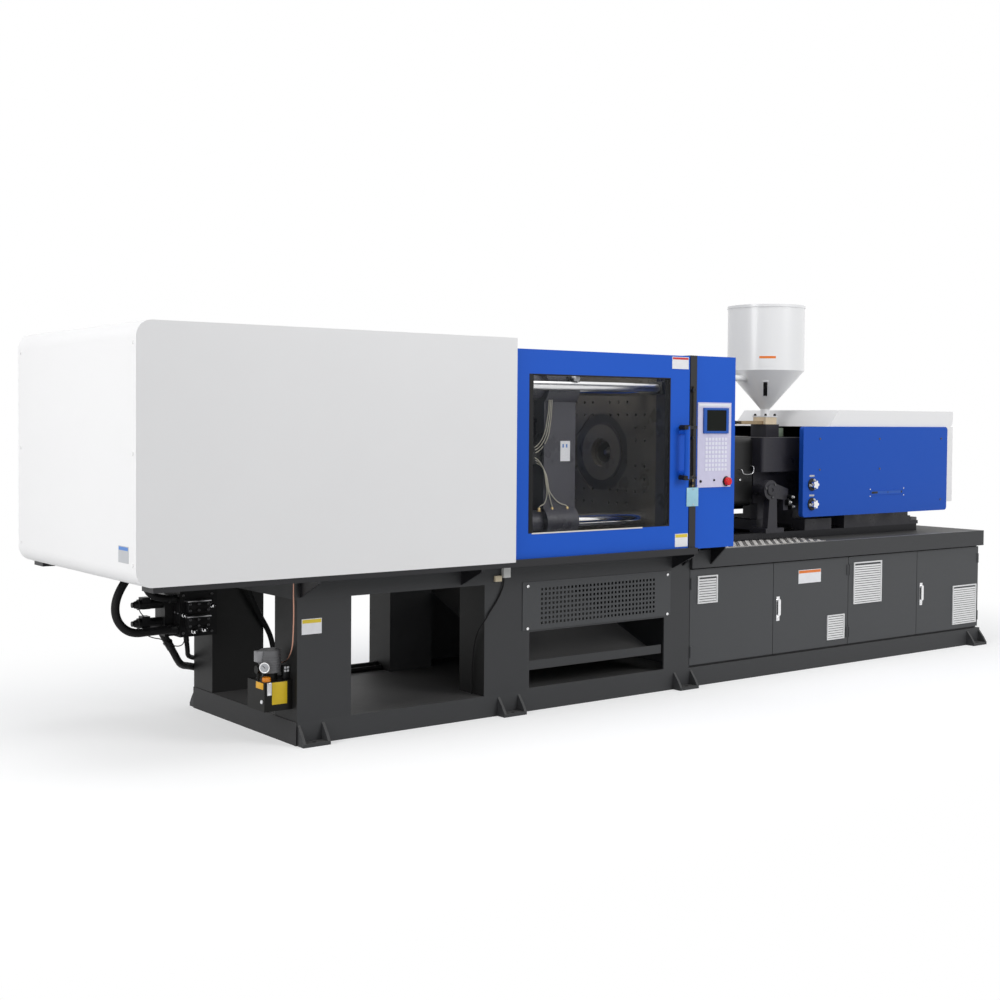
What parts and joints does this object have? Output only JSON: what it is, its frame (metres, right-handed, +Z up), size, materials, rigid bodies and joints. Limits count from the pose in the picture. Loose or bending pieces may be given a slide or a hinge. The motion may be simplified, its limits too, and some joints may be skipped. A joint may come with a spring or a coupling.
{
  "type": "injection moulding machine",
  "caption": "Horizontal toggle-clamp injection moulding machine on a box base, with pale clamp cover, blue sliding doors, operator column, hopper and injection unit.",
  "frame": {"origin": "on the floor under the middle of the base plinth", "axes": "+X from the clamp end to the injection end, +Y from the operator's side to the rear, +Z up"},
  "size_m": [5.988, 1.428, 2.157],
  "materials": {
    "base_paint": "satin textured paint",
    "leg_paint": "satin paint",
    "cabinet_paint": "fine textured paint",
    "black_paint": "satin paint",
    "white_paint": "smooth satin paint",
    "blue_paint": "smooth satin paint",
    "platen_paint": "machined face, painted sides",
    "cast_paint": "painted casting",
    "link_paint": "painted casting",
    "ground_steel": "ground",
    "dark_steel": "oiled",
    "hard_chrome": "polished",
    "hopper_white": "smooth satin paint",
    "equipment_grey": "satin paint",
    "guard_steel": "dull sheet",
    "black_rubber": "matte",
    "copper_pipe": "dull copper",
    "clear_pane": "clear",
    "keypad_film": "matte membrane",
    "screen_plastic": "gloss",
    "red_plastic": "gloss",
    "black_plastic": "matte",
    "valve_metal": "black oxide",
    "lube_plastic": "translucent tank with grey motor"
  },
  "bodies": {
    "base": {"base_plinth": "base_paint", "legs": "leg_paint", "bed_frame": "base_paint", "bed_slides": "ground_steel", "tread_plate": "ground_steel", "bed_walls": "base_paint", "grille_panel": "cabinet_paint", "parts_shelf": "base_paint", "cabinet_shell": "cabinet_paint", "cabinet_equipment": "equipment_grey", "clamp_cover_sides": "white_paint", "clamp_cover_wrap": "white_paint", "guard_frame": "black_paint", "guard_columns": "blue_paint", "keypad_plate": "keypad_film", "screen": "screen_plastic", "tie_bars": "hard_chrome", "stationary_platen": "platen_paint", "valve_block": "valve_metal", "lube_unit": "lube_plastic", "hose_loop": "black_rubber", "hose_upper": "black_rubber", "hose_lower": "black_rubber", "copper_pipe": "copper_pipe", "cover_cable": "black_rubber"},
    "tail": {"tail_platen": "cast_paint", "clamp_cylinder": "cast_paint"},
    "platen": {"moving_platen": "platen_paint", "grease_fittings": "copper_pipe"},
    "ejector": {"ejector": "link_paint"},
    "rear_link_upper": {"rear_link_upper": "link_paint"},
    "rear_link_lower": {"rear_link_lower": "link_paint"},
    "front_link_upper": {"front_link_upper": "link_paint"},
    "front_link_lower": {"front_link_lower": "link_paint"},
    "crosshead": {"crosshead": "link_paint"},
    "crosshead_link_upper": {"crosshead_link_upper": "link_paint"},
    "crosshead_link_lower": {"crosshead_link_lower": "link_paint"},
    "cabinet_door_1": {"cabinet_door_1": "cabinet_paint"},
    "cabinet_door_2": {"cabinet_door_2": "cabinet_paint"},
    "cabinet_door_3": {"cabinet_door_3": "cabinet_paint"},
    "cabinet_door_4": {"cabinet_door_4": "cabinet_paint"},
    "door_latch_1": {"door_latch_1": "black_plastic"},
    "door_latch_2": {"door_latch_2": "black_plastic"},
    "front_door": {"front_door": "blue_paint", "window_pane": "clear_pane"},
    "rear_door": {"rear_door": "blue_paint"},
    "emergency_stop": {"emergency_stop": "red_plastic"},
    "carriage": {"carriage_frame": "black_paint", "injection_housing": "cast_paint", "barrel": "dark_steel", "barrel_guard": "guard_steel", "top_cover": "white_paint", "side_covers": "blue_paint", "hopper": "hopper_white", "hopper_base": "hopper_white"},
    "slide_gate": {"slide_gate": "ground_steel"},
    "pressure_knob_upper": {"pressure_knob_upper": "black_plastic"},
    "pressure_knob_lower": {"pressure_knob_lower": "black_plastic"},
    "drive": {"thrust_housing": "cast_paint"},
    "screw": {"screw": "dark_steel"}
  },
  "joints": [
    {"name": "mould_height_adjust", "type": "slide", "parent": "base", "child": "tail", "axis": [1, 0, 0], "range_m": [-0.32, 0.05]},
    {"name": "clamp_stroke", "type": "slide", "parent": "tail", "child": "platen", "axis": [1, 0, 0], "range_m": [-0.247, 0.293]},
    {"name": "rear_link_upper_pin", "type": "hinge", "parent": "tail", "child": "rear_link_upper", "pos_m": [-1.751, 0, 1.7], "axis": [0, 1, 0], "range_deg": [-25, 21]},
    {"name": "rear_link_lower_pin", "type": "hinge", "parent": "tail", "child": "rear_link_lower", "pos_m": [-1.751, 0, 0.84], "axis": [0, 1, 0], "range_deg": [-21, 25]},
    {"name": "front_link_upper_pin", "type": "hinge", "parent": "platen", "child": "front_link_upper", "pos_m": [-1.244, 0, 1.7], "axis": [0, 1, 0], "range_deg": [-21, 25]},
    {"name": "front_link_lower_pin", "type": "hinge", "parent": "platen", "child": "front_link_lower", "pos_m": [-1.244, 0, 0.84], "axis": [0, 1, 0], "range_deg": [-25, 21]},
    {"name": "crosshead_slide", "type": "slide", "parent": "tail", "child": "crosshead", "axis": [1, 0, 0], "range_m": [-0.13, 0.155]},
    {"name": "crosshead_link_upper_pin", "type": "hinge", "parent": "crosshead", "child": "crosshead_link_upper", "pos_m": [-1.747, 0, 1.32], "axis": [0, 1, 0], "range_deg": [-18, 15.2]},
    {"name": "crosshead_link_lower_pin", "type": "hinge", "parent": "crosshead", "child": "crosshead_link_lower", "pos_m": [-1.747, 0, 1.22], "axis": [0, 1, 0], "range_deg": [-15.2, 18]},
    {"name": "ejector_stroke", "type": "slide", "parent": "platen", "child": "ejector", "axis": [1, 0, 0], "range_m": [0, 0.13]},
    {"name": "cabinet_door_1_hinge", "type": "hinge", "parent": "base", "child": "cabinet_door_1", "pos_m": [-0.114, -0.51, 0.38], "axis": [0, 0, -1], "range_deg": [0, 110]},
    {"name": "cabinet_door_2_hinge", "type": "hinge", "parent": "base", "child": "cabinet_door_2", "pos_m": [1.213, -0.51, 0.38], "axis": [0, 0, 1], "range_deg": [0, 90]},
    {"name": "cabinet_door_3_hinge", "type": "hinge", "parent": "base", "child": "cabinet_door_3", "pos_m": [1.233, -0.51, 0.38], "axis": [0, 0, -1], "range_deg": [0, 90]},
    {"name": "cabinet_door_4_hinge", "type": "hinge", "parent": "base", "child": "cabinet_door_4", "pos_m": [2.544, -0.51, 0.38], "axis": [0, 0, 1], "range_deg": [0, 110]},
    {"name": "door_latch_1_turn", "type": "hinge", "parent": "cabinet_door_2", "child": "door_latch_1", "pos_m": [0.595, -0.51, 0.42], "axis": [0, 1, 0], "range_deg": [0, 90]},
    {"name": "door_latch_2_turn", "type": "hinge", "parent": "cabinet_door_4", "child": "door_latch_2", "pos_m": [1.942, -0.51, 0.413], "axis": [0, 1, 0], "range_deg": [0, 90]},
    {"name": "front_door_slide", "type": "slide", "parent": "base", "child": "front_door", "axis": [-1, 0, 0], "range_m": [0, 1.1]},
    {"name": "rear_door_slide", "type": "slide", "parent": "base", "child": "rear_door", "axis": [-1, 0, 0], "range_m": [0, 1.1]},
    {"name": "emergency_stop_press", "type": "slide", "parent": "base", "child": "emergency_stop", "axis": [0, 1, 0], "range_m": [0, 0.006], "stiffness_N_per_m": 1500},
    {"name": "carriage_slide", "type": "slide", "parent": "base", "child": "carriage", "axis": [1, 0, 0], "range_m": [0, 0.3]},
    {"name": "injection_stroke", "type": "slide", "parent": "carriage", "child": "drive", "axis": [1, 0, 0], "range_m": [0, 0.25]},
    {"name": "screw_turn", "type": "hinge", "parent": "drive", "child": "screw", "pos_m": [0, 0, 1.27], "axis": [1, 0, 0], "continuous": true},
    {"name": "slide_gate_pull", "type": "slide", "parent": "carriage", "child": "slide_gate", "axis": [-1, 0, 0], "range_m": [0, 0.09]},
    {"name": "pressure_knob_upper_turn", "type": "hinge", "parent": "carriage", "child": "pressure_knob_upper", "pos_m": [1.025, -0.4, 1.074], "axis": [0, 1, 0], "range_deg": [-150, 150]},
    {"name": "pressure_knob_lower_turn", "type": "hinge", "parent": "carriage", "child": "pressure_knob_lower", "pos_m": [1.025, -0.4, 0.957], "axis": [0, 1, 0], "range_deg": [-150, 150]}
  ],
  "couplings": [
    {"joint": "rear_link_upper_pin", "follows": "clamp_stroke", "rad_per_m": -1.4387},
    {"joint": "rear_link_lower_pin", "follows": "clamp_stroke", "rad_per_m": 1.4387},
    {"joint": "front_link_upper_pin", "follows": "clamp_stroke", "rad_per_m": 1.4387},
    {"joint": "front_link_lower_pin", "follows": "clamp_stroke", "rad_per_m": -1.4387},
    {"joint": "crosshead_slide", "follows": "clamp_stroke", "ratio": 0.514},
    {"joint": "crosshead_link_upper_pin", "follows": "clamp_stroke", "rad_per_m": -1.0458},
    {"joint": "crosshead_link_lower_pin", "follows": "clamp_stroke", "rad_per_m": 1.0458}
  ]
}
